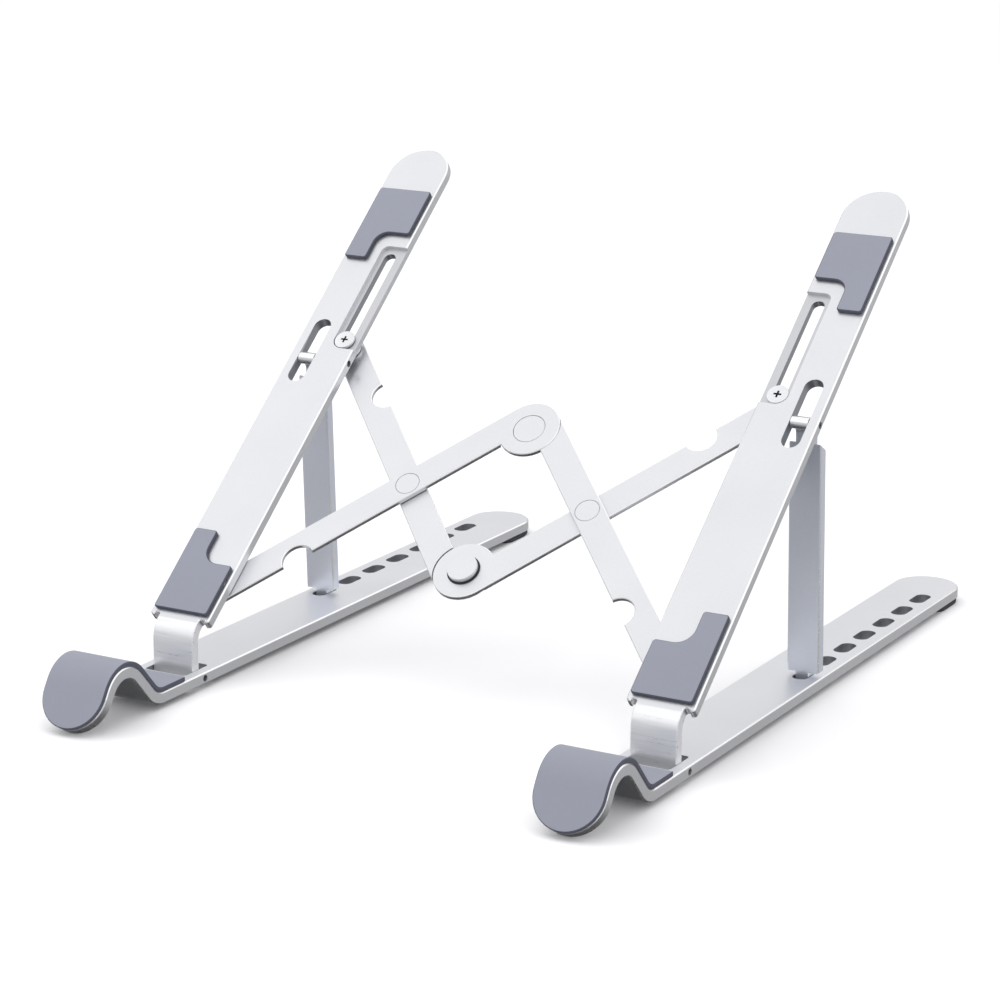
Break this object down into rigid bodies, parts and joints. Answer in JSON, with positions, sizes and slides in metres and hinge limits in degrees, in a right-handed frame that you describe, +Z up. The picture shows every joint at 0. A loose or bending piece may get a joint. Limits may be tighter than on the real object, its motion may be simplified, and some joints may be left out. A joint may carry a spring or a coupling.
{
  "type": "laptop stand",
  "caption": "Folding metal laptop stand: two side frames with hooks, tilting arms and prop legs, joined by a riveted scissor that lets them fold side by side.",
  "frame": {"origin": "under the middle of the whole stand, on the table", "axes": "+X to the right-hand frame as the laptop's user sees it, +Y from the hooks to the rear, +Z up"},
  "size_m": [0.19, 0.272, 0.1477],
  "materials": {
    "aluminium": "satin anodised",
    "steel": "bright",
    "dark_steel": "dark oxide",
    "silicone": "matt blue-grey silicone",
    "foot_rubber": "matt dark rubber"
  },
  "bodies": {
    "left_base_frame": {"left_base_bar": "aluminium", "left_hook_pad": "silicone", "left_rear_foot": "foot_rubber", "left_hinge_pin": "dark_steel"},
    "left_arm_frame": {"left_arm": "aluminium", "left_lower_pad": "silicone", "left_upper_pad": "silicone", "left_leg_pin": "dark_steel", "left_pivot_rivet": "steel"},
    "left_leg_frame": {"left_prop_leg": "aluminium"},
    "left_upper_link_frame": {"left_upper_link": "aluminium", "left_crossing_rivet": "steel", "rear_joint_rivet": "steel"},
    "left_lower_link_frame": {"left_lower_link": "aluminium", "left_slider_screw": "steel", "left_slider_washer": "steel", "left_slider_nut": "dark_steel", "front_joint_rivet": "steel"},
    "right_base_frame": {"right_base_bar": "aluminium", "right_hook_pad": "silicone", "right_rear_foot": "foot_rubber", "right_hinge_pin": "dark_steel"},
    "right_arm_frame": {"right_arm": "aluminium", "right_lower_pad": "silicone", "right_upper_pad": "silicone", "right_leg_pin": "dark_steel", "right_pivot_rivet": "steel"},
    "right_leg_frame": {"right_prop_leg": "aluminium"},
    "right_upper_link_frame": {"right_upper_link": "aluminium", "right_crossing_rivet": "steel"},
    "right_lower_link_frame": {"right_lower_link": "aluminium", "right_slider_screw": "steel", "right_slider_washer": "steel", "right_slider_nut": "dark_steel"}
  },
  "joints": [
    {"name": "arm_lift", "type": "hinge", "parent": "left_base_frame", "child": "left_arm_frame", "pos_m": [-0.08399, -0.07801, 0.00363], "axis": [1, 0, 0], "range_deg": [0, 50]},
    {"name": "left_leg_swing", "type": "hinge", "parent": "left_arm_frame", "child": "left_leg_frame", "pos_m": [-0.08399, 0.00658, 0.08756], "axis": [1, 0, 0], "range_deg": [-50, 0]},
    {"name": "fold", "type": "hinge", "parent": "left_arm_frame", "child": "left_upper_link_frame", "pos_m": [-0.07809, -0.05685, 0.02119], "axis": [0, -0.6388, 0.7694], "range_deg": [0, 42.5]},
    {"name": "left_crossing", "type": "hinge", "parent": "left_upper_link_frame", "child": "left_lower_link_frame", "pos_m": [-0.03208, -0.01853, 0.053], "axis": [0, -0.6388, 0.7694], "range_deg": [-85, 0]},
    {"name": "rear_joint", "type": "hinge", "parent": "left_upper_link_frame", "child": "right_upper_link_frame", "pos_m": [0, 0.00235, 0.07033], "axis": [0, -0.6388, 0.7694], "range_deg": [-85, 0]},
    {"name": "right_crossing", "type": "hinge", "parent": "right_upper_link_frame", "child": "right_lower_link_frame", "pos_m": [0.03208, -0.01853, 0.053], "axis": [0, -0.6388, 0.7694], "range_deg": [0, 85]},
    {"name": "right_pivot", "type": "hinge", "parent": "right_upper_link_frame", "child": "right_arm_frame", "pos_m": [0.07809, -0.05685, 0.02119], "axis": [0, -0.6388, 0.7694], "range_deg": [0, 42.5]},
    {"name": "right_base_swing", "type": "hinge", "parent": "right_arm_frame", "child": "right_base_frame", "pos_m": [0.08399, -0.07801, 0.00363], "axis": [1, 0, 0], "range_deg": [-50, 0]},
    {"name": "right_leg_swing", "type": "hinge", "parent": "right_arm_frame", "child": "right_leg_frame", "pos_m": [0.08399, 0.00658, 0.08756], "axis": [1, 0, 0], "range_deg": [-50, 0]}
  ],
  "couplings": [
    {"joint": "left_leg_swing", "follows": "arm_lift", "ratio": -1},
    {"joint": "right_leg_swing", "follows": "arm_lift", "ratio": -1},
    {"joint": "right_base_swing", "follows": "arm_lift", "ratio": -1},
    {"joint": "left_crossing", "follows": "fold", "ratio": -2},
    {"joint": "rear_joint", "follows": "fold", "ratio": -2},
    {"joint": "right_crossing", "follows": "fold", "ratio": 2},
    {"joint": "right_pivot", "follows": "fold", "ratio": 1}
  ]
}
